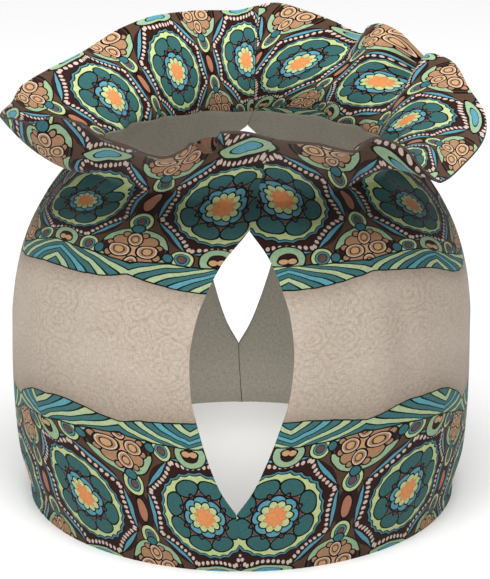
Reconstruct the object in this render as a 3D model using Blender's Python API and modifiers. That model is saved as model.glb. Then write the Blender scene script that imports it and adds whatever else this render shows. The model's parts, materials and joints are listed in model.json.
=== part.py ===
# Tea cosy with a ruffled top, standing on its hem.
# Two cloth panels meet down the front and the back, with a long slit in each seam.
# The body is a soft barrel, gathered in at the neck, and the ruffle flares round the open top.
# Axes: X to the right, Y to the back, Z up, origin on the floor on the axis of the body.
# Azimuth is 0 at the front, 90 on the right and 180 at the back, in degrees.

import bisect
import math
from collections import namedtuple

import bpy
from mathutils import Vector

MM = 0.001

# Cloth

CLOTH_THICKNESS = 1.6
SEAM_GAP = 0.5
RUFFLE_SEAM_GAP = 1.1

# Mesh of one panel

COLUMNS = 46
BODY_ROWS = 19
RUFFLE_ROWS = 9

# Hem and neck

HEM_STRAIGHT = 3.0
NECK_GATHERS = 19
NECK_GATHER_DEPTH = 1.1
SHOULDER_GATHERS = 11
SHOULDER_GATHER_DEPTH = 0.7
SHOULDER_GATHER_TURN = 70.0
GATHER_REACH = 9.0
GATHER_DRIFT = 4.0
GATHER_DRIFT_WAVES = 3
GATHER_DRIFT_TURN = 40.0

# Ruffle

RUFFLE_BEND = 0.45
RUFFLE_SOFTENING = 14.0
SOFTENING_SHARES = (-1.0, -0.5, 0.0, 0.5, 1.0)
SOFTENING_WEIGHTS = (1.0, 2.0, 3.0, 2.0, 1.0)

# Slit

Opening = namedtuple("Opening", "height half_width")
SLIT = (
    Opening(22.0, 0.0),
    Opening(30.0, 5.2),
    Opening(40.0, 9.4),
    Opening(52.0, 13.3),
    Opening(63.0, 16.1),
    Opening(76.0, 17.0),
    Opening(88.0, 15.4),
    Opening(98.0, 11.8),
    Opening(106.0, 7.4),
    Opening(114.0, 0.0),
)
BACK_SLIT_SHARE = 0.85

# Body sections from the hem to the neck

Section = namedtuple("Section", "height radius")
BODY = (
    Section(0.0, 74.4),
    Section(HEM_STRAIGHT, 74.4),
    Section(9.0, 75.8),
    Section(18.0, 78.0),
    Section(27.0, 78.9),
    Section(37.0, 79.5),
    Section(50.0, 79.8),
    Section(65.0, 79.7),
    Section(76.0, 78.6),
    Section(86.0, 76.5),
    Section(95.0, 73.4),
    Section(103.0, 69.0),
    Section(110.0, 63.9),
    Section(115.5, 58.8),
    Section(119.5, 54.2),
    Section(121.5, 51.8),
)

# Edge of the ruffle, one row for each crest, trough and flank
# Lift is how much steeper the cloth starts at the neck than it runs on the whole

Rim = namedtuple("Rim", "azimuth radius height lift")
RUFFLE = (
    Rim(-178.0, 66.5, 153.6, 24.0),
    Rim(-165.0, 66.0, 154.2, 24.0),
    Rim(-153.0, 67.5, 153.4, 24.0),
    Rim(-144.0, 73.0, 149.0, 24.0),
    Rim(-135.0, 81.0, 140.2, 22.0),
    Rim(-124.0, 83.0, 136.8, 16.0),
    Rim(-113.0, 83.2, 135.4, 4.0),
    Rim(-101.0, 80.8, 134.4, -22.0),
    Rim(-90.0, 81.2, 136.0, -36.0),
    Rim(-77.0, 81.8, 139.2, -44.0),
    Rim(-68.0, 79.8, 142.0, -46.0),
    Rim(-60.0, 78.6, 143.4, -38.0),
    Rim(-53.0, 74.4, 147.8, -14.0),
    Rim(-44.0, 74.4, 147.8, 10.0),
    Rim(-37.0, 76.4, 146.0, 20.0),
    Rim(-28.0, 77.8, 144.8, 24.0),
    Rim(-18.5, 79.4, 143.0, 22.0),
    Rim(-12.8, 76.6, 146.0, 24.0),
    Rim(-10.0, 71.8, 150.0, 24.0),
    Rim(0.0, 71.6, 150.2, 24.0),
    Rim(9.0, 74.6, 148.0, 24.0),
    Rim(18.0, 76.2, 146.6, 24.0),
    Rim(27.0, 79.0, 143.6, 22.0),
    Rim(33.0, 76.8, 146.0, 24.0),
    Rim(40.0, 80.0, 142.0, 24.0),
    Rim(43.5, 84.4, 134.4, 26.0),
    Rim(48.0, 86.2, 129.4, 28.0),
    Rim(58.0, 85.4, 131.8, 28.0),
    Rim(70.0, 84.8, 134.8, 26.0),
    Rim(80.0, 82.8, 138.2, 24.0),
    Rim(92.0, 76.8, 143.8, 22.0),
    Rim(103.0, 74.6, 148.2, 22.0),
    Rim(109.0, 71.4, 149.2, 24.0),
    Rim(112.5, 69.8, 148.4, 24.0),
    Rim(117.5, 80.2, 140.6, 18.0),
    Rim(123.5, 82.6, 137.8, 16.0),
    Rim(126.2, 77.0, 144.6, 20.0),
    Rim(128.6, 71.0, 151.6, 24.0),
    Rim(133.0, 69.0, 153.6, 24.0),
    Rim(140.0, 71.0, 151.0, 24.0),
    Rim(145.5, 75.6, 146.0, 22.0),
    Rim(152.0, 70.0, 150.8, 24.0),
    Rim(160.0, 65.6, 155.0, 24.0),
    Rim(169.0, 64.2, 157.4, 24.0),
    Rim(177.0, 65.8, 155.0, 24.0),
)

# Soft folds pressed into the body, one row for each

Fold = namedtuple("Fold", "azimuth width low high depth")
BODY_FOLDS = (
    Fold(45.0, 6.0, 30.0, 112.0, 1.5),
    Fold(56.0, 7.0, 40.0, 108.0, -0.7),
    Fold(27.0, 6.0, 60.0, 116.0, 0.9),
    Fold(78.0, 8.0, 12.0, 92.0, 0.9),
    Fold(104.0, 9.0, 30.0, 112.0, 1.2),
    Fold(141.0, 8.0, 20.0, 104.0, 1.1),
    Fold(-24.0, 6.0, 62.0, 116.0, 1.0),
    Fold(-41.0, 8.0, 34.0, 104.0, 0.8),
    Fold(-71.0, 8.0, 14.0, 98.0, 1.1),
    Fold(-98.0, 9.0, 40.0, 114.0, 0.9),
    Fold(-133.0, 8.0, 16.0, 108.0, 1.3),
    Fold(-158.0, 7.0, 50.0, 114.0, 0.8),
)

# Course of a seam, shifted sideways from the middle

SeamPoint = namedtuple("SeamPoint", "height shift")
SEAM = (
    SeamPoint(0.0, 0.0),
    SeamPoint(22.0, -1.6),
    SeamPoint(60.0, -0.4),
    SeamPoint(100.0, 1.4),
    SeamPoint(114.0, 2.8),
    SeamPoint(121.5, 5.4),
)
SEAM_RIM_SHIFT = 9.6
BACK_SEAM_SHARE = 0.75

# Colours

PANELS = (
    ("panel_left", -1.0, "cloth_left", (0.20, 0.25, 0.22, 1.0)),
    ("panel_right", 1.0, "cloth_right", (0.22, 0.26, 0.23, 1.0)),
)
ROUGHNESS = 0.85

NECK = BODY[-1]


def clear_scene():
    for item in list(bpy.data.objects):
        bpy.data.objects.remove(item, do_unlink=True)


def bell(distance, width):
    return math.exp(-0.5 * (distance / width) ** 2)


def wrap(angle):
    return (angle + 180.0) % 360.0 - 180.0


def smooth_step(share):
    share = min(max(share, 0.0), 1.0)
    return share * share * (3.0 - 2.0 * share)


class Course:
    # A smooth curve through table rows that never overshoots them

    def __init__(self, places, values):
        self.places = list(places)
        self.values = list(values)
        steps = [b - a for a, b in zip(self.places, self.places[1:])]
        rises = [b - a for a, b in zip(self.values, self.values[1:])]
        slopes = [rise / step for rise, step in zip(rises, steps)]
        self.slopes = [slopes[0]]
        for before, after, width_before, width_after in zip(slopes, slopes[1:], steps, steps[1:]):
            if before * after <= 0.0:
                self.slopes.append(0.0)
            else:
                first = 2.0 * width_after + width_before
                second = width_after + 2.0 * width_before
                self.slopes.append((first + second) / (first / before + second / after))
        self.slopes.append(slopes[-1])

    def at(self, place):
        index = bisect.bisect_right(self.places, place) - 1
        index = min(max(index, 0), len(self.places) - 2)
        step = self.places[index + 1] - self.places[index]
        share = min(max((place - self.places[index]) / step, 0.0), 1.0)
        square = share * share
        cube = square * share
        return (
            (2.0 * cube - 3.0 * square + 1.0) * self.values[index]
            + (cube - 2.0 * square + share) * step * self.slopes[index]
            + (3.0 * square - 2.0 * cube) * self.values[index + 1]
            + (cube - square) * step * self.slopes[index + 1]
        )


def round_course(column):
    rows = RUFFLE[-3:] + RUFFLE + RUFFLE[:3]
    turns = [-360.0] * 3 + [0.0] * len(RUFFLE) + [360.0] * 3
    places = [row.azimuth + turn for row, turn in zip(rows, turns)]
    return Course(places, [getattr(row, column) for row in rows])


def body_lengths():
    lengths = [0.0]
    for below, above in zip(BODY, BODY[1:]):
        lengths.append(lengths[-1] + math.hypot(above.height - below.height, above.radius - below.radius))
    return lengths


LENGTHS = body_lengths()
BODY_RADIUS = Course(LENGTHS, [row.radius for row in BODY])
BODY_HEIGHT = Course(LENGTHS, [row.height for row in BODY])
RIM_RADIUS = round_course("radius")
RIM_HEIGHT = round_course("height")
RIM_LIFT = round_course("lift")
SEAM_SHIFT = Course([row.height for row in SEAM], [row.shift for row in SEAM])
SLIT_HALF_WIDTH = Course([row.height for row in SLIT], [row.half_width for row in SLIT])


def softened(course, azimuth, spread):
    # Average over a stretch of the ruffle, weighted towards its middle
    places = [wrap(azimuth + share * spread) for share in SOFTENING_SHARES]
    total = sum(weight * course.at(place) for weight, place in zip(SOFTENING_WEIGHTS, places))
    return total / sum(SOFTENING_WEIGHTS)


def edge_azimuth(side, at_back, radius, height, climb):
    # Where a panel ends: at the seam, or drawn back from it along the slit
    shift = SEAM_SHIFT.at(height) + (SEAM_RIM_SHIFT - SEAM[-1].shift) * climb
    half = (SEAM_GAP + (RUFFLE_SEAM_GAP - SEAM_GAP) * climb) / 2.0
    half += SLIT_HALF_WIDTH.at(height) * (BACK_SLIT_SHARE if at_back else 1.0)
    if at_back:
        shift *= BACK_SEAM_SHARE
    across = math.degrees(math.asin((shift + side * half) / radius))
    if at_back:
        return side * 180.0 - across
    return across


def gather(azimuth, height):
    # Gathers at the neck, and fewer, wider ones on the shoulder below it
    drift = math.sin(math.radians(GATHER_DRIFT_WAVES * azimuth + GATHER_DRIFT_TURN))
    uneven = azimuth + GATHER_DRIFT * drift
    above = height - NECK.height
    fine = NECK_GATHER_DEPTH * math.cos(math.radians(NECK_GATHERS * uneven))
    broad = SHOULDER_GATHER_DEPTH * math.cos(math.radians(SHOULDER_GATHERS * uneven + SHOULDER_GATHER_TURN))
    return fine * bell(above, GATHER_REACH) + broad * bell(above + GATHER_REACH, GATHER_REACH)


def body_folds(azimuth, height):
    inward = 0.0
    for fold in BODY_FOLDS:
        middle = (fold.low + fold.high) / 2.0
        reach = (fold.high - fold.low) / 2.0
        along = abs(height - middle) / reach
        if along < 1.0:
            inward += fold.depth * smooth_step(1.0 - along) * bell(wrap(azimuth - fold.azimuth), fold.width)
    return inward


def body_point(azimuth, length):
    radius = BODY_RADIUS.at(length)
    height = BODY_HEIGHT.at(length)
    radius += gather(azimuth, height) - body_folds(azimuth, height)
    return radius, height


def ruffle_point(azimuth, climb):
    spread = RUFFLE_SOFTENING * (1.0 - climb)
    rim_radius = softened(RIM_RADIUS, azimuth, spread)
    rim_height = softened(RIM_HEIGHT, azimuth, spread)
    reach = math.hypot(rim_radius - NECK.radius, rim_height - NECK.height)
    rise = math.atan2(rim_height - NECK.height, rim_radius - NECK.radius)
    rise += math.radians(softened(RIM_LIFT, azimuth, spread))
    bend_radius = NECK.radius + RUFFLE_BEND * reach * math.cos(rise)
    bend_height = NECK.height + RUFFLE_BEND * reach * math.sin(rise)
    start = (1.0 - climb) ** 2
    middle = 2.0 * climb * (1.0 - climb)
    end = climb * climb
    radius = start * NECK.radius + middle * bend_radius + end * rim_radius
    height = start * NECK.height + middle * bend_height + end * rim_height
    radius += gather(azimuth, NECK.height) * (1.0 - smooth_step(climb * 2.0))
    return radius, height


def row_place(row):
    # Length of cloth up the body, then the climb along the ruffle from 0 at the neck to 1 at its edge
    if row > BODY_ROWS:
        return LENGTHS[-1], (row - BODY_ROWS) / RUFFLE_ROWS
    if row <= 1.0:
        return HEM_STRAIGHT * row, 0.0
    return HEM_STRAIGHT + (LENGTHS[-1] - HEM_STRAIGHT) * (row - 1.0) / (BODY_ROWS - 1.0), 0.0


def cloth_point(side, across, row):
    # Across runs from the front seam to the back seam, row from the hem to the edge of the ruffle
    length, climb = row_place(row)
    seam_radius = ruffle_point(0.0, climb)[0] if climb > 0.0 else BODY_RADIUS.at(length)
    seam_height = BODY_HEIGHT.at(length)
    start = edge_azimuth(side, False, seam_radius, seam_height, climb)
    stop = edge_azimuth(side, True, seam_radius, seam_height, climb)
    azimuth = start + (stop - start) * across
    if climb > 0.0:
        radius, height = ruffle_point(wrap(azimuth), climb)
    else:
        radius, height = body_point(wrap(azimuth), length)
    turn = math.radians(azimuth)
    return Vector((radius * math.sin(turn), -radius * math.cos(turn), height)) * MM


def make_material(name, colour):
    material = bpy.data.materials.new(name)
    material.use_nodes = True
    shader = material.node_tree.nodes["Principled BSDF"]
    shader.inputs["Base Color"].default_value = colour
    shader.inputs["Roughness"].default_value = ROUGHNESS
    material.diffuse_color = colour
    return material


def make_panel(collection, name, side, material_name, colour):
    rows = BODY_ROWS + RUFFLE_ROWS
    bpy.ops.mesh.primitive_grid_add(x_subdivisions=COLUMNS, y_subdivisions=rows, size=1.0)
    panel = bpy.context.object
    panel.name = name
    panel.data.name = name
    for vertex in panel.data.vertices:
        share = vertex.co.x + 0.5
        across = share if side > 0.0 else 1.0 - share
        vertex.co = cloth_point(side, across, (vertex.co.y + 0.5) * rows)
    panel.data.update()
    for owner in list(panel.users_collection):
        owner.objects.unlink(panel)
    collection.objects.link(panel)
    panel.data.materials.append(make_material(material_name, colour))
    thickness = panel.modifiers.new("thickness", "SOLIDIFY")
    thickness.thickness = CLOTH_THICKNESS * MM
    thickness.offset = -1.0
    thickness.use_even_offset = True
    return panel


def main():
    clear_scene()
    cosy = bpy.data.collections.new("tea_cosy")
    bpy.context.scene.collection.children.link(cosy)
    for name, side, material_name, colour in PANELS:
        make_panel(cosy, name, side, material_name, colour)


main()
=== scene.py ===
# Looks of the tea cosy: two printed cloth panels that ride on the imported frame.
# Axes are those of the frame: X to the right, Y to the back, Z up, origin on the floor.
# Azimuth is 0 at the front, 90 on the right and 180 at the back, in degrees.

import json
import math
from collections import namedtuple

import bpy
import numpy as np
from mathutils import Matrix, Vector

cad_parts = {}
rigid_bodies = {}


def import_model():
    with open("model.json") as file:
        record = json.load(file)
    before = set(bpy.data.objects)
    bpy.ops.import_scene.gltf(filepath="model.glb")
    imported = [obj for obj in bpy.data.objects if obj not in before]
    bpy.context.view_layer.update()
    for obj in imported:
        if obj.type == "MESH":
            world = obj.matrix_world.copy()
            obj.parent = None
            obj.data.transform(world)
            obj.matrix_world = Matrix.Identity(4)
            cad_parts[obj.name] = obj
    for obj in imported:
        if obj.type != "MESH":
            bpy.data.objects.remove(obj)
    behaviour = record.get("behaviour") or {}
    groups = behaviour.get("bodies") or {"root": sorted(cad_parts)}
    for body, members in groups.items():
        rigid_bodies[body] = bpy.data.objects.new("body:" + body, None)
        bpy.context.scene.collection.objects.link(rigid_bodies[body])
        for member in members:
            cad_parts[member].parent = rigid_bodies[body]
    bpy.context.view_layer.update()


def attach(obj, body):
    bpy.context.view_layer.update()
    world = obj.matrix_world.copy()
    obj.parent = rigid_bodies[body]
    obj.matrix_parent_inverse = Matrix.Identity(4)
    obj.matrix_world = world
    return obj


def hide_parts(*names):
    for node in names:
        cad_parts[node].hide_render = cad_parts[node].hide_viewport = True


for leftover in list(bpy.data.objects):
    bpy.data.objects.remove(leftover, do_unlink=True)
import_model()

MM = 0.001

# Camera

CAMERA_PLACE = (0.0012, -0.940, 0.416)
CAMERA_AIM = (0.0012, 0.0, 0.072)
CAMERA_LENS = 180.0
CAMERA_SENSOR = 36.0
CAMERA_NEAR = 0.01

# Cloth, whose two panels lap a little along the seams

CLOTH_THICKNESS = 0.9
SEAM_LAP = 0.16
EDGE_ROLL_DEPTH = 0.5
EDGE_ROLL_WIDTH = 1.5

# Mesh of one panel

COLUMNS = 236
BODY_ROWS = 112
RUFFLE_ROWS = 64

# Gathers at the neck and on the shoulder below it

NECK_GATHERS = 19
NECK_GATHER_DEPTH = 1.1
SHOULDER_GATHERS = 11
SHOULDER_GATHER_DEPTH = 0.7
SHOULDER_GATHER_TURN = 70.0
GATHER_REACH = 9.0
GATHER_CLIMB = 0.5
GATHER_DRIFT = 4.0
GATHER_DRIFT_WAVES = 3
GATHER_DRIFT_TURN = 40.0

# Ruffle

RUFFLE_BEND = 0.45
RUFFLE_SOFTENING = 14.0
SOFTENING_SHARES = (-1.0, -0.5, 0.0, 0.5, 1.0)
SOFTENING_WEIGHTS = (1.0, 2.0, 3.0, 2.0, 1.0)
OVERLAP_ROWS = 3

# Small roll of the ruffle's edge, which turns outwards over a short stretch

CURL_AZIMUTH = -8.6
CURL_HALF_WIDTH = 2.2
CURL_FADE = 2.6
CURL_START = 0.87
CURL_RADIUS = 1.7
CURL_TURN = 260.0

# Slit, which both the front and the back seam have

Opening = namedtuple("Opening", "height half_width")
SLIT = (
    Opening(22.0, 0.0),
    Opening(30.0, 5.2),
    Opening(40.0, 9.4),
    Opening(52.0, 13.3),
    Opening(63.0, 16.1),
    Opening(76.0, 17.0),
    Opening(88.0, 15.4),
    Opening(98.0, 11.8),
    Opening(106.0, 7.4),
    Opening(114.0, 0.0),
)
BACK_SLIT_SHARE = 0.85

# Body sections from the hem to the neck

Section = namedtuple("Section", "height radius")
BODY = (
    Section(0.0, 74.4),
    Section(3.0, 74.4),
    Section(9.0, 75.8),
    Section(18.0, 78.0),
    Section(27.0, 78.9),
    Section(37.0, 79.5),
    Section(50.0, 79.8),
    Section(65.0, 79.7),
    Section(76.0, 78.6),
    Section(86.0, 76.5),
    Section(95.0, 73.4),
    Section(103.0, 69.0),
    Section(110.0, 63.9),
    Section(115.5, 58.8),
    Section(119.5, 54.2),
    Section(121.5, 51.8),
)

# Edge of the ruffle, with rows on each crest, trough and flank
# Lift is how much steeper the cloth starts at the neck than it runs on the whole

Rim = namedtuple("Rim", "azimuth radius height lift")
RUFFLE = (
    Rim(-178.0, 66.5, 153.6, 24.0),
    Rim(-165.0, 66.0, 154.2, 24.0),
    Rim(-153.0, 67.5, 153.4, 24.0),
    Rim(-144.0, 73.0, 149.0, 24.0),
    Rim(-135.0, 81.0, 140.2, 22.0),
    Rim(-124.0, 83.0, 136.8, 16.0),
    Rim(-113.0, 83.2, 135.4, 4.0),
    Rim(-101.0, 80.8, 134.4, -22.0),
    Rim(-90.0, 81.2, 136.0, -36.0),
    Rim(-77.0, 81.8, 139.2, -44.0),
    Rim(-68.0, 79.8, 142.0, -46.0),
    Rim(-60.0, 78.6, 143.4, -38.0),
    Rim(-53.0, 74.4, 147.8, -14.0),
    Rim(-44.0, 74.4, 147.8, 10.0),
    Rim(-37.0, 76.4, 146.0, 20.0),
    Rim(-28.0, 77.8, 144.8, 24.0),
    Rim(-18.5, 79.4, 143.0, 22.0),
    Rim(-12.8, 76.6, 146.0, 24.0),
    Rim(-10.0, 71.8, 150.0, 24.0),
    Rim(0.0, 71.6, 150.2, 24.0),
    Rim(9.0, 74.6, 148.0, 24.0),
    Rim(18.0, 76.2, 146.6, 24.0),
    Rim(27.0, 79.0, 143.6, 22.0),
    Rim(33.0, 76.8, 146.0, 24.0),
    Rim(40.0, 80.0, 142.0, 24.0),
    Rim(43.5, 84.4, 134.4, 26.0),
    Rim(48.0, 86.2, 129.4, 28.0),
    Rim(58.0, 85.4, 131.8, 28.0),
    Rim(70.0, 84.8, 134.8, 26.0),
    Rim(80.0, 82.8, 138.2, 24.0),
    Rim(92.0, 76.8, 143.8, 22.0),
    Rim(103.0, 74.6, 148.2, 22.0),
    Rim(109.0, 71.4, 149.2, 24.0),
    Rim(112.5, 69.8, 148.4, 24.0),
    Rim(117.5, 80.2, 140.6, 18.0),
    Rim(123.5, 82.6, 137.8, 16.0),
    Rim(126.2, 77.0, 144.6, 20.0),
    Rim(128.6, 71.0, 151.6, 24.0),
    Rim(133.0, 69.0, 153.6, 24.0),
    Rim(140.0, 71.0, 151.0, 24.0),
    Rim(145.5, 75.6, 146.0, 22.0),
    Rim(152.0, 70.0, 150.8, 24.0),
    Rim(160.0, 65.6, 155.0, 24.0),
    Rim(169.0, 64.2, 157.4, 24.0),
    Rim(177.0, 65.8, 155.0, 24.0),
)

# Soft folds pressed into the body, one row for each

Fold = namedtuple("Fold", "azimuth width low high depth")
BODY_FOLDS = (
    Fold(35.0, 5.0, 36.0, 108.0, -0.8),
    Fold(43.5, 3.4, 34.0, 112.0, 1.5),
    Fold(57.0, 9.5, 30.0, 112.0, 1.6),
    Fold(27.0, 6.0, 60.0, 116.0, 0.9),
    Fold(78.0, 8.0, 12.0, 92.0, 0.9),
    Fold(104.0, 9.0, 30.0, 112.0, 1.2),
    Fold(141.0, 8.0, 20.0, 104.0, 1.1),
    Fold(-24.0, 6.0, 62.0, 116.0, 1.0),
    Fold(-41.0, 8.0, 34.0, 104.0, 0.8),
    Fold(-71.0, 8.0, 14.0, 98.0, 1.1),
    Fold(-98.0, 9.0, 40.0, 114.0, 0.9),
    Fold(-133.0, 8.0, 16.0, 108.0, 1.3),
    Fold(-158.0, 7.0, 50.0, 114.0, 0.8),
)

# Course of a seam, shifted sideways from the middle

SeamPoint = namedtuple("SeamPoint", "height shift")
SEAM = (
    SeamPoint(0.0, 0.0),
    SeamPoint(22.0, -1.6),
    SeamPoint(60.0, -0.4),
    SeamPoint(100.0, 1.4),
    SeamPoint(114.0, 2.8),
    SeamPoint(121.5, 5.4),
)
SEAM_RIM_SHIFT = 9.6
BACK_SEAM_SHARE = 0.75

NECK = BODY[-1]


# Shape

def bell(distance, width):
    return np.exp(-0.5 * (distance / width) ** 2)


def wrap(angle):
    return (angle + 180.0) % 360.0 - 180.0


def smooth_step(share):
    share = np.clip(share, 0.0, 1.0)
    return share * share * (3.0 - 2.0 * share)


class Course:
    # A smooth curve through table rows that never overshoots them

    def __init__(self, places, values):
        self.places = np.array(places, float)
        self.values = np.array(values, float)
        steps = np.diff(self.places)
        slopes = np.diff(self.values) / steps
        before, after = slopes[:-1], slopes[1:]
        turning = before * after <= 0.0
        first = 2.0 * steps[1:] + steps[:-1]
        second = steps[1:] + 2.0 * steps[:-1]
        safe_before = np.where(turning, 1.0, before)
        safe_after = np.where(turning, 1.0, after)
        inner = np.where(turning, 0.0, (first + second) / (first / safe_before + second / safe_after))
        self.slopes = np.concatenate([slopes[:1], inner, slopes[-1:]])

    def at(self, place):
        place = np.asarray(place, float)
        index = np.clip(np.searchsorted(self.places, place, side="right") - 1, 0, len(self.places) - 2)
        step = self.places[index + 1] - self.places[index]
        share = np.clip((place - self.places[index]) / step, 0.0, 1.0)
        square = share * share
        cube = square * share
        return (
            (2.0 * cube - 3.0 * square + 1.0) * self.values[index]
            + (cube - 2.0 * square + share) * step * self.slopes[index]
            + (3.0 * square - 2.0 * cube) * self.values[index + 1]
            + (cube - square) * step * self.slopes[index + 1]
        )


def round_course(column):
    # A column of the ruffle's table as a curve that goes on past both of its ends
    rows = RUFFLE[-OVERLAP_ROWS:] + RUFFLE + RUFFLE[:OVERLAP_ROWS]
    turns = [-360.0] * OVERLAP_ROWS + [0.0] * len(RUFFLE) + [360.0] * OVERLAP_ROWS
    places = [row.azimuth + turn for row, turn in zip(rows, turns)]
    return Course(places, [getattr(row, column) for row in rows])


def body_lengths():
    # Length of cloth from the hem up to each section
    lengths = [0.0]
    for below, above in zip(BODY, BODY[1:]):
        lengths.append(lengths[-1] + math.hypot(above.height - below.height, above.radius - below.radius))
    return lengths


LENGTHS = body_lengths()
BODY_RADIUS = Course(LENGTHS, [row.radius for row in BODY])
BODY_HEIGHT = Course(LENGTHS, [row.height for row in BODY])
RIM_RADIUS = round_course("radius")
RIM_HEIGHT = round_course("height")
RIM_LIFT = round_course("lift")
SEAM_SHIFT = Course([row.height for row in SEAM], [row.shift for row in SEAM])
SLIT_HALF_WIDTH = Course([row.height for row in SLIT], [row.half_width for row in SLIT])


def softened(course, azimuth, spread):
    # Average over a stretch of the ruffle, weighted towards its middle
    total = 0.0
    for share, weight in zip(SOFTENING_SHARES, SOFTENING_WEIGHTS):
        total = total + weight * course.at(wrap(azimuth + share * spread))
    return total / sum(SOFTENING_WEIGHTS)


def edge_azimuth(side, at_back, radius, height, climb):
    # Where a panel ends: at the seam, or drawn back from it along the slit
    shift = SEAM_SHIFT.at(height) + (SEAM_RIM_SHIFT - SEAM[-1].shift) * climb
    half = SLIT_HALF_WIDTH.at(height) * (BACK_SLIT_SHARE if at_back else 1.0) - SEAM_LAP / 2.0
    if at_back:
        shift = shift * BACK_SEAM_SHARE
    across = np.degrees(np.arcsin((shift + side * half) / radius))
    if at_back:
        return side * 180.0 - across
    return across


def gather(azimuth, height):
    # Gathers at the neck, and fewer, wider ones on the shoulder below it
    drift = np.sin(np.radians(GATHER_DRIFT_WAVES * azimuth + GATHER_DRIFT_TURN))
    uneven = azimuth + GATHER_DRIFT * drift
    above = height - NECK.height
    fine = NECK_GATHER_DEPTH * np.cos(np.radians(NECK_GATHERS * uneven))
    broad = SHOULDER_GATHER_DEPTH * np.cos(np.radians(SHOULDER_GATHERS * uneven + SHOULDER_GATHER_TURN))
    return fine * bell(above, GATHER_REACH) + broad * bell(above + GATHER_REACH, GATHER_REACH)


def body_folds(azimuth, height):
    # How far all the folds together press the body inwards
    inward = 0.0
    for fold in BODY_FOLDS:
        middle = (fold.low + fold.high) / 2.0
        reach = (fold.high - fold.low) / 2.0
        along = smooth_step(1.0 - np.abs(height - middle) / reach)
        inward = inward + fold.depth * along * bell(wrap(azimuth - fold.azimuth), fold.width)
    return inward


def body_point(azimuth, length):
    radius = BODY_RADIUS.at(length)
    height = BODY_HEIGHT.at(length)
    radius = radius + gather(azimuth, height) - body_folds(azimuth, height)
    return radius, height


def ruffle_point(azimuth, climb):
    # Curve from the neck to the ruffle's edge, steeper at its start by the lift
    spread = RUFFLE_SOFTENING * (1.0 - climb)
    rim_radius = softened(RIM_RADIUS, azimuth, spread)
    rim_height = softened(RIM_HEIGHT, azimuth, spread)
    reach = np.hypot(rim_radius - NECK.radius, rim_height - NECK.height)
    rise = np.arctan2(rim_height - NECK.height, rim_radius - NECK.radius)
    rise = rise + np.radians(softened(RIM_LIFT, azimuth, spread))
    bend_radius = NECK.radius + RUFFLE_BEND * reach * np.cos(rise)
    bend_height = NECK.height + RUFFLE_BEND * reach * np.sin(rise)
    start = (1.0 - climb) ** 2
    middle = 2.0 * climb * (1.0 - climb)
    end = climb * climb
    radius = start * NECK.radius + middle * bend_radius + end * rim_radius
    height = start * NECK.height + middle * bend_height + end * rim_height
    radius = radius + gather(azimuth, NECK.height) * (1.0 - smooth_step(climb / GATHER_CLIMB))
    return radius, height


def curled(azimuth, climb):
    # Point of the ruffle with its edge rolled outwards where the roll is
    radius, height = ruffle_point(azimuth, climb)
    start_radius, start_height = ruffle_point(azimuth, np.full_like(climb, CURL_START))
    rim_radius, rim_height = ruffle_point(azimuth, np.ones_like(climb))
    reach = np.hypot(rim_radius - start_radius, rim_height - start_height)
    out, up = (rim_radius - start_radius) / reach, (rim_height - start_height) / reach
    turn = np.radians(CURL_TURN) * np.clip((climb - CURL_START) / (1.0 - CURL_START), 0.0, 1.0)
    along, aside = CURL_RADIUS * np.sin(turn), CURL_RADIUS * (1.0 - np.cos(turn))
    rolled_radius = start_radius + along * out + aside * up
    rolled_height = start_height + along * up - aside * out
    from_end = CURL_HALF_WIDTH - np.abs(azimuth - CURL_AZIMUTH)
    share = smooth_step(0.5 + from_end / CURL_FADE) * (climb > CURL_START)
    return radius + (rolled_radius - radius) * share, height + (rolled_height - height) * share


def cloth_grid(side):
    # Azimuth, length up the body and climb along the ruffle of each point of a panel, row by row,
    # and the azimuths between which its row runs
    on_body = np.linspace(0.0, LENGTHS[-1], BODY_ROWS + 1)
    lengths = np.concatenate([on_body, np.full(RUFFLE_ROWS, LENGTHS[-1])])
    climbs = np.concatenate([np.zeros(BODY_ROWS + 1), np.linspace(0.0, 1.0, RUFFLE_ROWS + 1)[1:]])
    across = np.linspace(0.0, 1.0, COLUMNS + 1)
    length, across = np.meshgrid(lengths, across, indexing="ij")
    climb = np.repeat(climbs[:, None], COLUMNS + 1, axis=1)
    seam_radius = np.where(climb > 0.0, ruffle_point(np.zeros_like(climb), climb)[0], BODY_RADIUS.at(length))
    seam_height = BODY_HEIGHT.at(length)
    start = edge_azimuth(side, False, seam_radius, seam_height, climb)
    stop = edge_azimuth(side, True, seam_radius, seam_height, climb)
    azimuth = start + (stop - start) * across
    return azimuth, length, climb, start, stop


def cloth_points(side):
    azimuth, length, climb, start, stop = cloth_grid(side)
    on_body = body_point(wrap(azimuth), length)
    on_ruffle = curled(wrap(azimuth), climb)
    above = climb > 0.0
    radius = np.where(above, on_ruffle[0], on_body[0])
    height = np.where(above, on_ruffle[1], on_body[1])
    from_edge = np.radians(np.minimum(np.abs(azimuth - start), np.abs(stop - azimuth))) * radius
    radius = radius - EDGE_ROLL_DEPTH * np.exp(-from_edge / EDGE_ROLL_WIDTH)
    turn = np.radians(azimuth)
    return np.stack([radius * np.sin(turn), -radius * np.cos(turn), height], axis=-1) * MM


# Print: colours in display values from 0 to 255, whose light is all cut to one share

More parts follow.
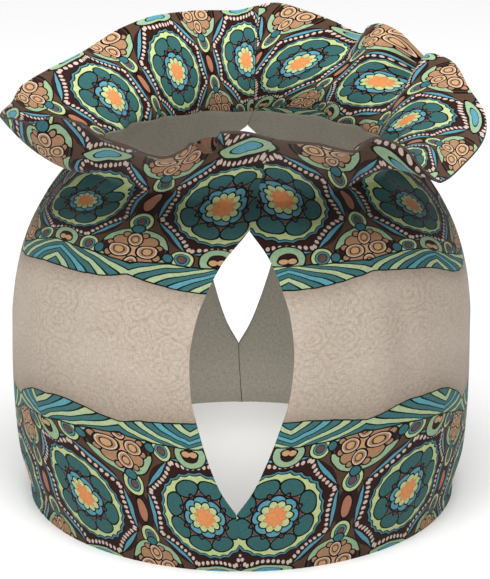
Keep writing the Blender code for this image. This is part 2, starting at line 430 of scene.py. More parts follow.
DYE_DEPTH = 0.575
CORE_ORANGE = (232, 150, 92)
LIME = (196, 210, 148)
SKY = (92, 156, 174)
RING_BLUE = (78, 134, 144)
TEAL = (56, 102, 102)
DROP_TEAL = (58, 112, 120)
MINT = (156, 186, 148)
MAUVE = (106, 80, 74)
DARK_BROWN = (50, 24, 20)
TAUPE = (88, 64, 50)
OVAL_BROWN = (176, 120, 94)
BEAD = (216, 194, 182)
TAN = (206, 162, 118)
LIGHT_BROWN = (176, 134, 100)
CREAM = (222, 196, 172)
INK = (12, 10, 10)
BAND_TEAL = (66, 116, 118)
BAND_BLUE = (98, 168, 180)
BAND_MINT = (184, 204, 158)
BEIGE = (206, 191, 175)
BEIGE_SHADE = (156, 140, 123)
BEIGE_LINE = (186, 170, 150)
REVERSE_BEIGE = (226, 219, 203)
RUFFLE_EDGE = (74, 58, 50)
BODY_EDGE = (112, 98, 84)
# Colour of the painted shade in the gathers at the neck
CREASE_SHADE_COLOUR = (22, 18, 16)

# Print: the repeat, in its own millimetres
# Medallions stand on the middle line of each row, rosettes at the corners between them

HALF_PERIOD = 25.0
CORNER_NEAR = 22.5
CORNER_FAR = 21.6
MIRROR_MIDDLE = 56.0
LINE = 0.46
WOBBLE = 1.0
WOBBLE_SCALE = 130.0
WOBBLE_DETAIL = 1.0

# A motif's oval has a middle and two radii
# Rings are pairs of how far out a colour reaches and the colour, the widest first

Oval = namedtuple("Oval", "middle radii")

# Eight-sided border round a medallion, with beads on it and blue crescents outside it

BORDER = 18.3
BORDER_SIDES = 8
BORDER_CURVE = 0.019
BORDER_RINGS = ((1.3, INK), (1.0, DARK_BROWN))
BORDER_GROUND_CURVE = 0.055
BORDER_GROUND_REACH = 4.2
CRESCENT_CURVE = 0.026
CRESCENT_RINGS = ((3.0, INK), (2.65, SKY))
BEAD_PITCH = 1.85
BEAD_OVAL = Oval((BORDER - 0.1, 0.0), (0.74, 0.62))

# Medallion, from its scalloped rim in to its pointed core

SCALLOP_TURNS = 13.0
SCALLOP_DEPTH = 0.6
MEDALLION_RINGS = ((17.2, INK), (16.75, RING_BLUE), (16.15, INK), (15.75, LIME))
MEDALLION_GROUND = 9.7
PETALS = 8
PETAL = Oval((11.25, 0.0), (2.8, 4.15))
PETAL_NOTCH = Oval((8.0, 0.0), (1.6, 1.1))
FLOWER_RINGS = ((8.3, INK), (7.9, MAUVE), (7.3, DARK_BROWN))
OUTER_LEAVES = 8
OUTER_LEAF = Oval((6.2, 0.0), (1.45, 2.35))
INNER_LEAVES = 10
INNER_LEAF = Oval((4.2, 0.0), (1.6, 1.3))
CORE_TURNS = 5.0
CORE_DEPTH = 1.2
CORE_RINGS = ((2.95, OVAL_BROWN), (2.7, CORE_ORANGE))

# Upright oval between two medallions, the small lens above it, and the lying leaf over a medallion

LENS_GROUND = Oval((0.0, 0.0), (3.8, 8.4))
LENS = Oval((0.0, 0.0), (1.75, 4.1))
SMALL_LENS = Oval((0.0, 9.6), (3.3, 4.1))
SMALL_LENS_RINGS = ((LINE, INK), (0.0, LIME), (-0.95, INK), (-1.25, RING_BLUE), (-1.9, INK), (-2.15, MAUVE))
LEAF = Oval((0.0, 0.0), (9.4, 1.8))
LEAF_RINGS = ((0.2, INK), (0.0, MINT), (-0.7, INK), (-0.85, SKY))

# One quarter of a rosette, with a mint horn bent round it

ROSETTE = Oval((0.0, 0.0), (10.6, 9.6))
ROSETTE_GROUND = -0.8
HORN_TURN = 0.86
HORN_SPREAD = 0.66
HORN_WIDTH = 2.6
ROSETTE_KNOBS = (
    Oval((3.9, 3.7), (2.8, 2.5)),
    Oval((7.4, 1.9), (1.05, 0.95)),
    Oval((2.7, 6.9), (1.05, 0.95)),
)
ROSETTE_MIDDLE = Oval((0.0, 0.0), (2.2, 2.4))
ROSETTE_EYES = (Oval((4.2, 0.2), (3.0, 2.1)), Oval((0.0, 4.9), (2.1, 2.7)))
EYE_RINGS = ((LINE, INK), (0.0, CREAM), (-0.35, LIGHT_BROWN), (-0.85, INK), (-1.15, TAN))
ROSETTE_DROP = Oval((0.0, 9.6), (1.7, 1.5))

# Small motifs that stand on the wave band

ARCH = Oval((0.0, 0.0), (5.0, 4.4))
ARCH_RINGS = ((LINE, INK), (0.0, MINT), (-1.9, INK), (-2.2, DARK_BROWN))
ARCH_SEED = Oval((1.2, -0.6), (1.3, 1.0))
FOOT_LENS = Oval((10.0, -0.6), (3.2, 3.3))
FOOT_LENS_RINGS = ((LINE, INK), (0.0, LIME), (-0.85, INK), (-1.1, RING_BLUE), (-1.7, INK), (-1.95, MAUVE))
FOOT_DROP = Oval((14.2, -1.0), (1.4, 1.5))

# Wave band, whose stripes come in rounds of six: mint, teal, mint, teal, blue, teal

BAND_TOP = -33.5
BAND_PINCH = 2.9
BAND_CUSP = -27.0
BAND_ARC = -25.2
STRIPE_PITCH = 3.3
STRIPE_START = 1.2
STRIPE_LEAD = 12.0
STRIPE_SLANT = 0.9
STRIPE_CURVE = 0.13
STRIPE_INK = 0.39
STRIPES_IN_ROUND = 6.0
BLUE_STRIPE = 0.75

# Plain band, with scrolls in patches and shade towards the wave bands, more of it low down

SCROLL_SCALE = 88.0
SCROLL_UNEVENNESS = 0.55
SCROLL_RINGS = 6.0
SCROLL_WANDER = 1.9
SCROLL_WANDER_SCALE = 260.0
SCROLL_LINE = 0.3
SCROLL_SHARPNESS = 4.0
SCROLL_INK = 0.75
PATCH_SCALE = 52.0
PATCH_CONTRAST = 7.0
PATCH_START = -2.6
BEIGE_DETAIL = 2.0
BAND_SHADE = 0.75
BAND_SHADE_REACH = 9.0
LOW_SHADE = 0.42
LOW_SHADE_TOP = 51.0
LOW_SHADE_REACH = 18.0

# Painted shade where the cloth is gathered in at the neck, as a height in the repeat and a share

CREASE_SHADE_REACH = 14.0
OUTER_CREASE_SHADE = (108.0, 0.5)
FACING_CREASE_SHADE = (86.0, 0.5)

# How many times brighter the print is painted on the ruffle's inner face, as painted light: a lit copy of the
# outer print

FACING_PAINTED_LIGHT = 1.6

# Sockets of a colour mix node

MIX_SHARE = 0
MIX_UNDER = 6
MIX_OVER = 7
MIX_RESULT = 2


def tint(colour):
    shares = [c / 255.0 for c in colour]
    linear = [c / 12.92 if c <= 0.04045 else ((c + 0.055) / 1.055) ** 2.4 for c in shares]
    return (*[DYE_DEPTH * c for c in linear], 1.0)


class Value:
    # A number in a material's node tree, with the usual arithmetic

    def __init__(self, tree, socket):
        self.tree = tree
        self.socket = socket

    def make(self, operation, *inputs):
        node = self.tree.nodes.new("ShaderNodeMath")
        node.operation = operation
        for index, item in enumerate(inputs):
            if isinstance(item, Value):
                self.tree.links.new(item.socket, node.inputs[index])
            else:
                node.inputs[index].default_value = item
        return Value(self.tree, node.outputs[0])

    def __add__(self, other):
        return self.make("ADD", self, other)

    def __sub__(self, other):
        return self.make("SUBTRACT", self, other)

    def __rsub__(self, other):
        return self.make("SUBTRACT", other, self)

    def __mul__(self, other):
        return self.make("MULTIPLY", self, other)

    def __truediv__(self, other):
        return self.make("DIVIDE", self, other)

    def __abs__(self):
        return self.make("ABSOLUTE", self)

    def __lt__(self, other):
        return self.make("LESS_THAN", self, other)

    def times_plus(self, factor, extra):
        return self.make("MULTIPLY_ADD", self, factor, extra)

    def does(self, operation, *others):
        return self.make(operation, self, *others)

    def clamped(self):
        return self.does("MAXIMUM", 0.0).does("MINIMUM", 1.0)


class Picture:
    # A colour that is painted over, shape by shape

    def __init__(self, tree, ground):
        self.tree = tree
        self.socket = None
        self.ground = tint(ground)

    def fill(self, mask, colour):
        node = self.tree.nodes.new("ShaderNodeMix")
        node.data_type = "RGBA"
        self.tree.links.new(mask.socket, node.inputs[MIX_SHARE])
        if self.socket is None:
            node.inputs[MIX_UNDER].default_value = self.ground
        else:
            self.tree.links.new(self.socket, node.inputs[MIX_UNDER])
        if isinstance(colour, tuple):
            node.inputs[MIX_OVER].default_value = tint(colour)
        else:
            self.tree.links.new(colour, node.inputs[MIX_OVER])
        self.socket = node.outputs[MIX_RESULT]

    def rings(self, distance, rings, offset=0.0):
        for reach, colour in rings:
            self.fill(distance < offset + reach, colour)

    def shape(self, distance, colour):
        # One colour with an ink line round it
        self.rings(distance, ((LINE, INK), (0.0, colour)))


def length_of(x, y):
    return y.times_plus(y, x * x).does("SQRT")


def ellipse(x, y, oval):
    # Rough distance outside an oval
    across = x.times_plus(1.0 / oval.radii[0], -oval.middle[0] / oval.radii[0])
    along = y.times_plus(1.0 / oval.radii[1], -oval.middle[1] / oval.radii[1])
    small = min(oval.radii)
    return length_of(across, along).times_plus(small, -small)


def folded(radius, angle, count, turn):
    # Place along and across the middle line of the nearest of count equal sectors
    share = angle.times_plus(count / math.tau, turn + 0.5).does("FRACT")
    local = share.times_plus(math.tau / count, -math.pi / count)
    return radius * local.does("COSINE"), radius * local.does("SINE")


def paint_border(picture, radius, angle):
    out, along = folded(radius, angle, BORDER_SIDES, 0.0)
    square = along * along
    edge = square.times_plus(-BORDER_CURVE, out)
    picture.fill(square.times_plus(BORDER_GROUND_CURVE, edge) < BORDER + BORDER_GROUND_REACH, DARK_BROWN)
    picture.rings(square.times_plus(CRESCENT_CURVE, edge), CRESCENT_RINGS, BORDER)
    picture.rings(edge, BORDER_RINGS, BORDER)
    share = abs(along).times_plus(1.0 / BEAD_PITCH, 0.5).does("FRACT")
    bead_along = share.times_plus(BEAD_PITCH, -BEAD_PITCH / 2.0)
    picture.fill(ellipse(edge, bead_along, BEAD_OVAL) < 0.0, BEAD)


def paint_medallion(picture, radius, angle):
    scallop = abs((angle * SCALLOP_TURNS).does("SINE"))
    picture.rings(scallop.times_plus(SCALLOP_DEPTH, radius), MEDALLION_RINGS)
    picture.fill(radius < MEDALLION_GROUND, MAUVE)
    out, along = folded(radius, angle, PETALS, 0.5)
    notch = ellipse(out, along, PETAL_NOTCH)
    picture.shape(ellipse(out, along, PETAL).does("MAXIMUM", notch * -1.0), TEAL)
    picture.rings(radius, FLOWER_RINGS)
    out, along = folded(radius, angle, OUTER_LEAVES, 0.0)
    picture.shape(ellipse(out, along, OUTER_LEAF), SKY)
    out, along = folded(radius, angle, INNER_LEAVES, 0.0)
    picture.shape(ellipse(out, along, INNER_LEAF), LIME)
    spike = abs((angle * CORE_TURNS).does("SINE"))
    picture.rings(spike.times_plus(-CORE_DEPTH, radius), CORE_RINGS)


def paint_lens(picture, aside, height):
    picture.fill(ellipse(aside, height, LENS_GROUND) < 0.0, DARK_BROWN)
    picture.shape(ellipse(aside, height, LENS), OVAL_BROWN)
    picture.rings(ellipse(aside, height, SMALL_LENS), SMALL_LENS_RINGS)


def paint_rosette(picture, aside, apart):
    # Places are measured from the rosette's middle
    round_edge = ellipse(aside, apart, ROSETTE)
    angle = apart.does("ARCTAN2", aside)
    lean = angle.times_plus(1.0 / HORN_SPREAD, -HORN_TURN / HORN_SPREAD)
    width = (1.0 - lean * lean).does("MAXIMUM", 0.0).does("SQRT") * HORN_WIDTH
    picture.fill(round_edge < ROSETTE_GROUND, DARK_BROWN)
    inner = (round_edge * -1.0) - width
    picture.shape(round_edge.does("MAXIMUM", inner), MINT)
    for knob in ROSETTE_KNOBS:
        picture.shape(ellipse(aside, apart, knob), LIGHT_BROWN)
    picture.shape(ellipse(aside, apart, ROSETTE_MIDDLE), TAN)
    for eye in ROSETTE_EYES:
        picture.rings(ellipse(aside, apart, eye), EYE_RINGS)
    picture.shape(ellipse(aside, apart, ROSETTE_DROP), DROP_TEAL)


def paint_wave_foot(picture, across, height):
    picture.rings(ellipse(across, height, ARCH), ARCH_RINGS)
    picture.shape(ellipse(across, height, ARCH_SEED), TAN)
    picture.rings(ellipse(across, height, FOOT_LENS), FOOT_LENS_RINGS)
    picture.shape(ellipse(across, height, FOOT_DROP), DROP_TEAL)


def plain_edge(square):
    # Edge of the plain band, which the wave band leaves narrow under each rosette
    return square.times_plus(BAND_PINCH / HALF_PERIOD ** 2, BAND_TOP)


def paint_wave_band(picture, across, height):
    # Bent stripes that start on the plain side and lean away from each rosette
    square = across * across
    inside = height - square.times_plus((BAND_CUSP - BAND_ARC) / HALF_PERIOD ** 2, BAND_ARC)
    rise = height - plain_edge(square)
    lean = rise * rise.times_plus(STRIPE_CURVE, STRIPE_SLANT)
    phase = (HALF_PERIOD + STRIPE_START - across) - lean
    place = phase.times_plus(1.0 / STRIPE_PITCH, STRIPE_LEAD)
    within = place.does("FRACT")
    stripe = Picture(picture.tree, BAND_TEAL)
    stripe.fill((place * 0.5).does("FRACT") < 0.5, BAND_MINT)
    from_blue = abs((place / STRIPES_IN_ROUND).does("FRACT") - BLUE_STRIPE)
    stripe.fill(from_blue < 0.5 / STRIPES_IN_ROUND, BAND_BLUE)
    stripe.fill(abs(within - 0.5).does("GREATER_THAN", STRIPE_INK), INK)
    picture.fill(inside < LINE, INK)
    picture.fill(inside < 0.0, stripe.socket)
    picture.fill(rise < 0.0, INK)


def flat_noise(tree, vector, scale, detail):
    noise = tree.nodes.new("ShaderNodeTexNoise")
    noise.noise_dimensions = "2D"
    noise.inputs["Scale"].default_value = scale
    noise.inputs["Detail"].default_value = detail
    tree.links.new(vector, noise.inputs["Vector"])
    return noise


def beige_colour(tree, vector, rise, y):
    cells = tree.nodes.new("ShaderNodeTexVoronoi")
    cells.voronoi_dimensions = "2D"
    cells.inputs["Scale"].default_value = SCROLL_SCALE
    cells.inputs["Randomness"].default_value = SCROLL_UNEVENNESS
    tree.links.new(vector, cells.inputs["Vector"])
    distance = Value(tree, cells.outputs["Distance"])
    wander = Value(tree, flat_noise(tree, vector, SCROLL_WANDER_SCALE, BEIGE_DETAIL).outputs[0])
    rings = distance.times_plus(SCROLL_RINGS, wander * SCROLL_WANDER).does("FRACT")
    line = (1.0 - abs(rings - SCROLL_LINE) * SCROLL_SHARPNESS).does("MAXIMUM", 0.0)
    patches = Value(tree, flat_noise(tree, vector, PATCH_SCALE, BEIGE_DETAIL).outputs[0])
    shown = patches.times_plus(PATCH_CONTRAST, PATCH_START).clamped()
    picture = Picture(tree, BEIGE)
    picture.fill((line * shown) * SCROLL_INK, BEIGE_LINE)
    shade = rise.times_plus(1.0 / BAND_SHADE_REACH, 1.0).clamped()
    picture.fill((shade * shade) * BAND_SHADE, BEIGE_SHADE)
    low = y.times_plus(-1.0 / LOW_SHADE_REACH, LOW_SHADE_TOP / LOW_SHADE_REACH).clamped()
    picture.fill(low * LOW_SHADE, BEIGE_SHADE)
    return picture.socket


def place_on_cloth(tree, layer):
    place = tree.nodes.new("ShaderNodeUVMap")
    place.uv_map = layer
    return place.outputs["UV"]


def draw_print(tree, layer, crease_shade_height, crease_shade_share):
    # The whole repeat, mirrored about the plain band's middle, the far corners and every half period
    vector = place_on_cloth(tree, layer)
    noise = flat_noise(tree, vector, WOBBLE_SCALE, WOBBLE_DETAIL)
    drift = tree.nodes.new("ShaderNodeSeparateColor")
    tree.links.new(noise.outputs["Color"], drift.inputs[0])
    split = tree.nodes.new("ShaderNodeSeparateXYZ")
    tree.links.new(vector, split.inputs[0])
    drift_x = Value(tree, drift.outputs[0]).times_plus(WOBBLE, -WOBBLE / 2.0)
    drift_y = Value(tree, drift.outputs[1]).times_plus(WOBBLE, -WOBBLE / 2.0)
    x = Value(tree, split.outputs[0]).times_plus(1.0 / MM, drift_x)
    y = Value(tree, split.outputs[1]).times_plus(1.0 / MM, drift_y)
    across = x.does("PINGPONG", HALF_PERIOD)
    height = abs(y - MIRROR_MIDDLE) - MIRROR_MIDDLE
    upward = CORNER_FAR - abs(height - CORNER_FAR)
    level = abs(upward)
    radius = length_of(across, level)
    angle = level.does("ARCTAN2", across)
    picture = Picture(tree, TAUPE)
    paint_border(picture, radius, angle)
    paint_medallion(picture, radius, angle)
    aside = HALF_PERIOD - across
    paint_lens(picture, aside, level)
    picture.rings(ellipse(across, CORNER_FAR - upward, LEAF), LEAF_RINGS)
    apart = (CORNER_FAR - upward).does("MINIMUM", abs(upward + CORNER_NEAR))
    paint_rosette(picture, aside, apart)
    paint_wave_foot(picture, across, upward + CORNER_NEAR)
    paint_wave_band(picture, across, height)
    rise = height - plain_edge(across * across)
    picture.fill(rise < -LINE, beige_colour(tree, vector, rise, y))
    # Painted shade: the print darkens in a soft bell round the crease height, where shade falls in the
    # gathers
    from_crease_shade = y.times_plus(1.0 / CREASE_SHADE_REACH, -crease_shade_height / CREASE_SHADE_REACH)
    shaded = (from_crease_shade * from_crease_shade * -1.0).does("EXPONENT")
    picture.fill(shaded * crease_shade_share, CREASE_SHADE_COLOUR)
    return picture.socket, vector


# Cloth materials

THREAD_PITCH = 0.55
SLUB_STRETCH = 5.0
SLUB_SCALE = 620.0
SLUB_DETAIL = 1.0
SLUB_SHARE = 0.36
MOTTLE_SCALE = 900.0
MOTTLE_DETAIL = 3.0
MOTTLE_SHARE = 0.32
CLOTH_VALUE = 0.84
THREAD_RELIEF = 0.5
MOTTLE_RELIEF = 1.5
WEAVE_DISTANCE = 0.00012
WEAVE_STRENGTH = 0.35
CLOTH_ROUGHNESS = 0.86
CLOTH_SHEEN = 0.06
SHEEN_ROUGHNESS = 0.45
CLOTH_SPECULAR = 0.1
PLAIN_ROUGHNESS = 0.9


def slubs(tree, vector, stretch):
    # Uneven threads that run across the stretch
    longer = tree.nodes.new("ShaderNodeVectorMath")
    longer.operation = "MULTIPLY"
    longer.inputs[1].default_value = stretch
    tree.links.new(vector, longer.inputs[0])
    return Value(tree, flat_noise(tree, longer.outputs[0], SLUB_SCALE, SLUB_DETAIL).outputs[0])


def finish_cloth(material, colour, vector, lift=1.0):
    # Matte woven cloth in the given colour, with uneven threads
    tree = material.node_tree
    shader = tree.nodes["Principled BSDF"]
    shader.inputs["Roughness"].default_value = CLOTH_ROUGHNESS
    shader.inputs["Sheen Weight"].default_value = CLOTH_SHEEN
    shader.inputs["Sheen Roughness"].default_value = SHEEN_ROUGHNESS
    shader.inputs["Specular IOR Level"].default_value = CLOTH_SPECULAR
    mottle = Value(tree, flat_noise(tree, vector, MOTTLE_SCALE, MOTTLE_DETAIL).outputs[0])
    threads = slubs(tree, vector, (1.0, SLUB_STRETCH, 1.0)) + slubs(tree, vector, (SLUB_STRETCH, 1.0, 1.0))
    # lift brightens the whole colour, painted light that makes a lit copy of the same print
    value = mottle.times_plus(MOTTLE_SHARE * lift, (CLOTH_VALUE - SLUB_SHARE) * lift)
    value = threads.times_plus(SLUB_SHARE * lift, value)
    vary = tree.nodes.new("ShaderNodeHueSaturation")
    tree.links.new(value.socket, vary.inputs["Value"])
    tree.links.new(colour, vary.inputs["Color"])
    tree.links.new(vary.outputs[0], shader.inputs["Base Color"])
    split = tree.nodes.new("ShaderNodeSeparateXYZ")
    tree.links.new(vector, split.inputs[0])
    turns = math.tau / (THREAD_PITCH * MM)
    warp = (Value(tree, split.outputs[0]) * turns).does("SINE")
    weft = (Value(tree, split.outputs[1]) * turns).does("SINE")
    weave = (warp * weft).times_plus(THREAD_RELIEF, mottle * MOTTLE_RELIEF)
    bump = tree.nodes.new("ShaderNodeBump")
    bump.inputs["Strength"].default_value = WEAVE_STRENGTH
    bump.inputs["Distance"].default_value = WEAVE_DISTANCE
    tree.links.new(weave.socket, bump.inputs["Height"])
    tree.links.new(bump.outputs[0], shader.inputs["Normal"])


def new_material(name):
    material = bpy.data.materials.new(name)
    material.use_nodes = True
    return material


def print_material(name, layer, crease_shade, lift):
    material = new_material(name)
    colour, vector = draw_print(material.node_tree, layer, *crease_shade)
    finish_cloth(material, colour, vector, lift)
    return material


def reverse_material(name, layer):
    material = new_material(name)
    tree = material.node_tree
    plain = tree.nodes.new("ShaderNodeRGB")
    plain.outputs[0].default_value = tint(REVERSE_BEIGE)
    finish_cloth(material, plain.outputs[0], place_on_cloth(tree, layer))
    return material


def plain_material(name, colour):
    material = new_material(name)
    shader = material.node_tree.nodes["Principled BSDF"]
    shader.inputs["Base Color"].default_value = colour
    shader.inputs["Roughness"].default_value = PLAIN_ROUGHNESS
    return material


# Where the print lies on the cloth
# Flat height runs from the hem up to the neck and on to the edge of the ruffle
# The right panel's print is taken from further along the repeat, where its small wobbles differ

RUFFLE_FLAT = 38.0
RIGHT_START = 1000.0

# Azimuth of the first medallion, the first rosette and the second medallion from the front seam,
# and how many half periods there are from the first medallion to the back seam

Column = namedtuple("Column", "flat medallion rosette next_medallion to_back")
LEFT_COLUMNS = (
    Column(0.0, 6.0, 21.5, 38.0, 10.0),
    Column(21.0, 8.7, 24.3, 41.3, 10.0),
    Column(33.0, 10.4, 26.6, 48.0, 10.0),
    Column(46.0, 12.5, 30.0, 60.0, 10.0),
    Column(104.0, 6.5, 31.5, 58.0, 6.6),
    Column(127.0, 6.4, 32.0, 60.7, 6.2),
    Column(138.0, 3.5, 26.7, 52.0, 7.1),
    Column(148.0, 1.0, 21.6, 45.5, 7.6),
    Column(159.0, -1.5, 16.1, 38.5, 8.3),
    Column(169.0, -3.0, 13.0, 35.0, 8.6),
)
RIGHT_COLUMNS = (
    Column(0.0, 6.5, 24.0, 42.0, 10.0),
    Column(21.0, 8.1, 25.9, 45.0, 10.0),
    Column(33.0, 9.2, 27.4, 50.0, 10.0),
    Column(46.0, 11.5, 30.0, 60.0, 10.0),
    Column(104.0, 12.5, 37.0, 63.0, 6.5),
    Column(127.0, 14.0, 39.4, 66.5, 6.2),
    Column(131.0, 15.0, 38.5, 65.0, 6.3),
    Column(142.0, 9.0, 32.6, 57.0, 7.0),
    Column(164.0, 0.5, 21.8, 43.0, 8.5),
    Column(169.0, -1.0, 20.5, 41.0, 8.8),
)

# Flat heights of the corners, the edges of the plain band, the upper middle line, the petals and
# the bead line above it and the corners above that, and where the repeat has them
# The lower middle line comes first in the repeat, and lies one drop below the low corners

Level = namedtuple("Level", "azimuth low_corner low_edge high_edge high_corner middle petals beads top")
LEVELS = (
    Level(-180.0, 43.7, 54.4, 98.6, 109.0, 126.0, 136.3, 147.0, 158.0),
    Level(-135.0, 43.0, 53.8, 97.8, 108.0, 125.0, 135.3, 146.0, 156.0),
    Level(-85.0, 31.5, 42.6, 88.4, 98.5, 114.0, 119.5, 150.5, 155.0),
    Level(-62.0, 39.5, 50.6, 96.4, 106.5, 119.8, 124.0, 154.0, 158.0),
    Level(-56.0, 41.0, 52.2, 97.2, 107.3, 121.0, 125.4, 150.5, 154.6),
    Level(-50.0, 42.2, 54.0, 97.6, 108.0, 122.4, 127.0, 143.6, 150.0),
    Level(-39.0, 43.4, 54.6, 98.0, 109.2, 126.0, 132.0, 144.5, 151.7),
    Level(-31.0, 43.5, 54.8, 98.7, 109.5, 127.3, 135.0, 146.0, 154.0),
    Level(-16.0, 43.5, 54.6, 98.4, 109.2, 127.3, 137.4, 153.5, 158.8),
    Level(-6.0, 43.5, 54.6, 98.1, 109.0, 128.0, 138.3, 148.6, 155.6),
    Level(8.0, 44.0, 55.0, 99.2, 109.0, 131.5, 142.0, 153.0, 163.5),
    Level(23.0, 44.4, 55.2, 99.0, 109.0, 129.5, 141.0, 158.0, 163.5),
    Level(38.0, 44.2, 55.2, 98.7, 108.6, 126.4, 136.0, 153.0, 160.5),
    Level(55.0, 41.8, 53.2, 96.4, 105.0, 121.0, 127.5, 153.0, 158.0),
    Level(80.0, 31.5, 42.5, 85.4, 94.5, 112.0, 118.5, 150.5, 155.0),
    Level(135.0, 43.0, 53.8, 97.8, 108.0, 125.0, 135.3, 146.0, 156.0),
    Level(180.0, 43.7, 54.4, 98.6, 109.0, 126.0, 136.3, 147.0, 158.0),
)
LOW_MIDDLE_DROP = 22.2
LEVEL_PRINT = (0.0, 22.5, 33.5, 78.5, 89.5, 112.0, 121.0, 130.3, 133.6)

# Inside of the ruffle: where each medallion or corner column stands, how far up the ruffle
# its middle and the corners above are, and how far it leans on the way up

Facing = namedtuple("Facing", "azimuth half_periods middle top lean")
LEFT_FACING = (
    Facing(-35.0, 12.8, 0.40, 0.92, 0.0),
    Facing(75.0, 7.0, 0.34, 0.92, 0.0),
    Facing(94.0, 6.0, 0.34, 0.92, 0.0),
    Facing(111.5, 5.0, 0.33, 0.92, -3.0),
    Facing(131.5, 4.0, 0.33, 1.02, 3.0),
    Facing(143.0, 3.0, 0.39, 0.95, -7.0),
    Facing(155.2, 2.0, 0.45, 0.99, -4.0),
    Facing(168.0, 1.0, 0.50, 0.95, -8.0),
    Facing(182.0, 0.0, 0.52, 1.00, -5.0),
    Facing(206.0, -2.0, 0.52, 1.00, -5.0),
)
RIGHT_FACING = (
    Facing(-35.0, 10.0, 0.40, 0.90, -30.0),
    Facing(62.0, 6.0, 0.34, 0.90, -30.0),
    Facing(77.0, 5.0, 0.34, 0.89, -30.0),
    Facing(97.3, 4.0, 0.34, 0.92, -30.0),
    Facing(108.5, 3.0, 0.42, 0.92, -20.0),
    Facing(127.7, 2.0, 0.53, 0.96, -33.0),
    Facing(143.0, 1.0, 0.53, 0.91, -30.0),
    Facing(158.2, 0.0, 0.52, 0.95, -29.0),
    Facing(175.0, -1.0, 0.50, 0.94, -29.0),
    Facing(206.0, -3.0, 0.50, 0.94, -29.0),
)


def print_places(side, azimuth, length, climb):
    # Place in the repeat of each point of a panel's outer face
    flat = length + RUFFLE_FLAT * climb
    away = side * azimuth
    columns = LEFT_COLUMNS if side < 0.0 else RIGHT_COLUMNS
    heights = [row.flat for row in columns]
    first = np.interp(flat, heights, [row.medallion for row in columns])
    second = np.interp(flat, heights, [row.rosette for row in columns])
    third = np.interp(flat, heights, [row.next_medallion for row in columns])
    last = np.interp(flat, heights, [row.to_back for row in columns])
    near = (away - first) / (second - first)
    far = 1.0 + (away - second) / (third - second)
    rest = 2.0 + (last - 2.0) * (away - third) / (180.0 - third)
    periods = np.where(away < second, near, np.where(away < third, far, rest))
    x = side * periods * HALF_PERIOD + (RIGHT_START if side > 0.0 else 0.0)
    turns = [row.azimuth for row in LEVELS]
    around = wrap(azimuth)
    marks = [Course(turns, [getattr(row, name) for row in LEVELS]).at(around) for name in Level._fields[1:]]
    marks = [marks[0] - LOW_MIDDLE_DROP] + marks
    y = LEVEL_PRINT[0] + np.minimum(flat - marks[0], 0.0)
    for low, high, below, above in zip(marks, marks[1:], LEVEL_PRINT, LEVEL_PRINT[1:]):
        y = y + np.clip((flat - low) / (high - low), 0.0, 1.0) * (above - below)
    last_rate = (LEVEL_PRINT[-1] - LEVEL_PRINT[-2]) / (marks[-1] - marks[-2])
    y = y + np.maximum(flat - marks[-1], 0.0) * last_rate
    return x * MM, y * MM


def facing_places(side, azimuth, climb):
    # Place in the repeat of each point of the ruffle's inner face
    rows = LEFT_FACING if side < 0.0 else RIGHT_FACING
    away = side * azimuth
    periods = np.zeros_like(away)
    middle = np.full_like(away, rows[0].middle)
    top = np.full_like(away, rows[0].top)
    for near, far in zip(rows, rows[1:]):
        start = near.azimuth + near.lean * (climb - near.middle)
        stop = far.azimuth + far.lean * (climb - far.middle)
        share = (away - start) / (stop - start)
        after = share >= 0.0
        periods = np.where(after, near.half_periods + (far.half_periods - near.half_periods) * share, periods)
        share = np.clip(share, 0.0, 1.0)
        middle = np.where(after, near.middle + (far.middle - near.middle) * share, middle)
        top = np.where(after, near.top + (far.top - near.top) * share, top)
    x = side * periods * HALF_PERIOD + (RIGHT_START if side > 0.0 else 0.0)
    y = 2.0 * MIRROR_MIDDLE + CORNER_FAR * (climb - middle) / (top - middle)
    return x * MM, y * MM


# Panels

PRINT_LAYER = "print_place"
FACING_LAYER = "facing_place"

# Each panel's slots are body, ruffle, body reverse, ruffle facing, body edge and ruffle edge

REVERSE_SLOT = 2
EDGE_SLOT = 4


def add_places(mesh, name, corner_points, places):
    layer = mesh.uv_layers.new(name=name)
    flat = np.stack([axis.ravel()[corner_points] for axis in places], axis=-1)
    layer.data.foreach_set("uv", flat.astype(np.float32).ravel())


def make_panel(name, side, materials):
    azimuth, length, climb = cloth_grid(side)[:3]
    points = cloth_points(side)
    rows, columns = points.shape[:2]
    index = np.arange(rows * columns).reshape(rows, columns)
    corners = [index[:-1, :-1], index[:-1, 1:], index[1:, 1:], index[1:, :-1]]
    if side < 0.0:
        corners = corners[::-1]
    faces = np.stack(corners, axis=-1).reshape(-1, 4)
    mesh = bpy.data.meshes.new(name)
    mesh.from_pydata(points.reshape(-1, 3).tolist(), [], faces.tolist())
    mesh.shade_smooth()
    ends = np.zeros(2 * len(mesh.edges), np.int32)
    mesh.edges.foreach_get("vertices", ends)
    row, column = np.divmod(ends.reshape(-1, 2), columns)
    border = (row == 0).all(1) | (row == rows - 1).all(1)
    border = border | (column == 0).all(1) | (column == columns - 1).all(1)
    mesh.edges.foreach_set("use_edge_sharp", border)
    corner_points = np.zeros(len(mesh.loops), np.int32)
    mesh.loops.foreach_get("vertex_index", corner_points)
    add_places(mesh, PRINT_LAYER, corner_points, print_places(side, azimuth, length, climb))
    add_places(mesh, FACING_LAYER, corner_points, facing_places(side, azimuth, climb))
    for material in materials:
        mesh.materials.append(material)
    on_ruffle = np.arange(len(faces)) // (columns - 1) >= BODY_ROWS
    mesh.polygons.foreach_set("material_index", on_ruffle.astype(np.int32))
    panel = bpy.data.objects.new(name, mesh)
    bpy.context.scene.collection.objects.link(panel)
    thickness = panel.modifiers.new("thickness", "SOLIDIFY")
    thickness.thickness = CLOTH_THICKNESS * MM
    thickness.offset = -1.0
    thickness.material_offset = REVERSE_SLOT
    thickness.material_offset_rim = EDGE_SLOT
    return panel


# Camera, floor and light

def turned_to(place, aim):
    # Rotation of a camera or lamp at a place that looks at the aim
    return (Vector(aim) - Vector(place)).to_track_quat("-Z", "Y").to_euler()


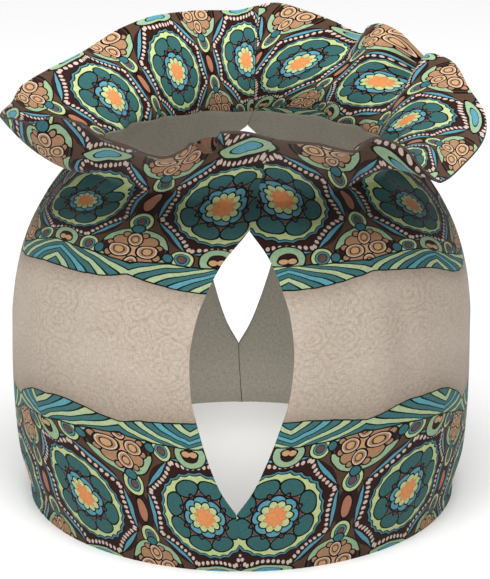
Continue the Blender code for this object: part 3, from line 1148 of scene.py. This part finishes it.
def make_camera():
    data = bpy.data.cameras.new("camera")
    data.lens = CAMERA_LENS
    data.sensor_width = CAMERA_SENSOR
    data.clip_start = CAMERA_NEAR
    camera = bpy.data.objects.new("camera", data)
    camera.location = CAMERA_PLACE
    camera.rotation_euler = turned_to(CAMERA_PLACE, CAMERA_AIM)
    bpy.context.scene.collection.objects.link(camera)
    bpy.context.scene.camera = camera


FLOOR_SIZE = 6.0
FLOOR_COLOUR = (0.97, 0.97, 0.97, 1.0)
WORLD_COLOUR = (1.0, 1.0, 1.0, 1.0)
WORLD_STRENGTH = 0.48

Lamp = namedtuple("Lamp", "name place size watts")
LAMPS = (
    Lamp("overhead", (0.0, -0.35, 1.45), 1.1, 19.0),
    Lamp("front_left", (-1.15, -1.3, 0.5), 0.8, 13.5),
    Lamp("front_right", (0.85, -1.5, 0.45), 0.9, 8.6),
)
LAMP_AIM = (0.0, 0.0, 0.08)


def make_floor():
    bpy.ops.mesh.primitive_plane_add(size=FLOOR_SIZE)
    floor = bpy.context.object
    floor.name = "floor"
    floor.data.materials.append(plain_material("floor_paint", FLOOR_COLOUR))


def make_lights():
    world = bpy.data.worlds.new("studio")
    world.use_nodes = True
    background = world.node_tree.nodes["Background"]
    background.inputs["Color"].default_value = WORLD_COLOUR
    background.inputs["Strength"].default_value = WORLD_STRENGTH
    bpy.context.scene.world = world
    for lamp in LAMPS:
        data = bpy.data.lights.new(lamp.name, "AREA")
        data.size = lamp.size
        data.energy = lamp.watts
        light = bpy.data.objects.new(lamp.name, data)
        light.location = lamp.place
        light.rotation_euler = turned_to(lamp.place, LAMP_AIM)
        bpy.context.scene.collection.objects.link(light)


# Whole scene

Panel = namedtuple("Panel", "name node side")
PANELS = (Panel("cloth_left", "panel_left", -1.0), Panel("cloth_right", "panel_right", 1.0))

make_camera()
outer = print_material("printed_face", PRINT_LAYER, OUTER_CREASE_SHADE, 1.0)
# The inner face's print is the outer print painted brighter, as painted light
facing = print_material("printed_facing", FACING_LAYER, FACING_CREASE_SHADE, FACING_PAINTED_LIGHT)
reverse = reverse_material("plain_reverse", PRINT_LAYER)
body_edge = plain_material("body_edge", tint(BODY_EDGE))
ruffle_edge = plain_material("ruffle_edge", tint(RUFFLE_EDGE))
for panel_name, node, panel_side in PANELS:
    cloth = make_panel(panel_name, panel_side, (outer, outer, reverse, facing, body_edge, ruffle_edge))
    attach(cloth, "root")
    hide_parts(node)
make_floor()
make_lights()
bpy.context.scene.view_settings.view_transform = "Standard"
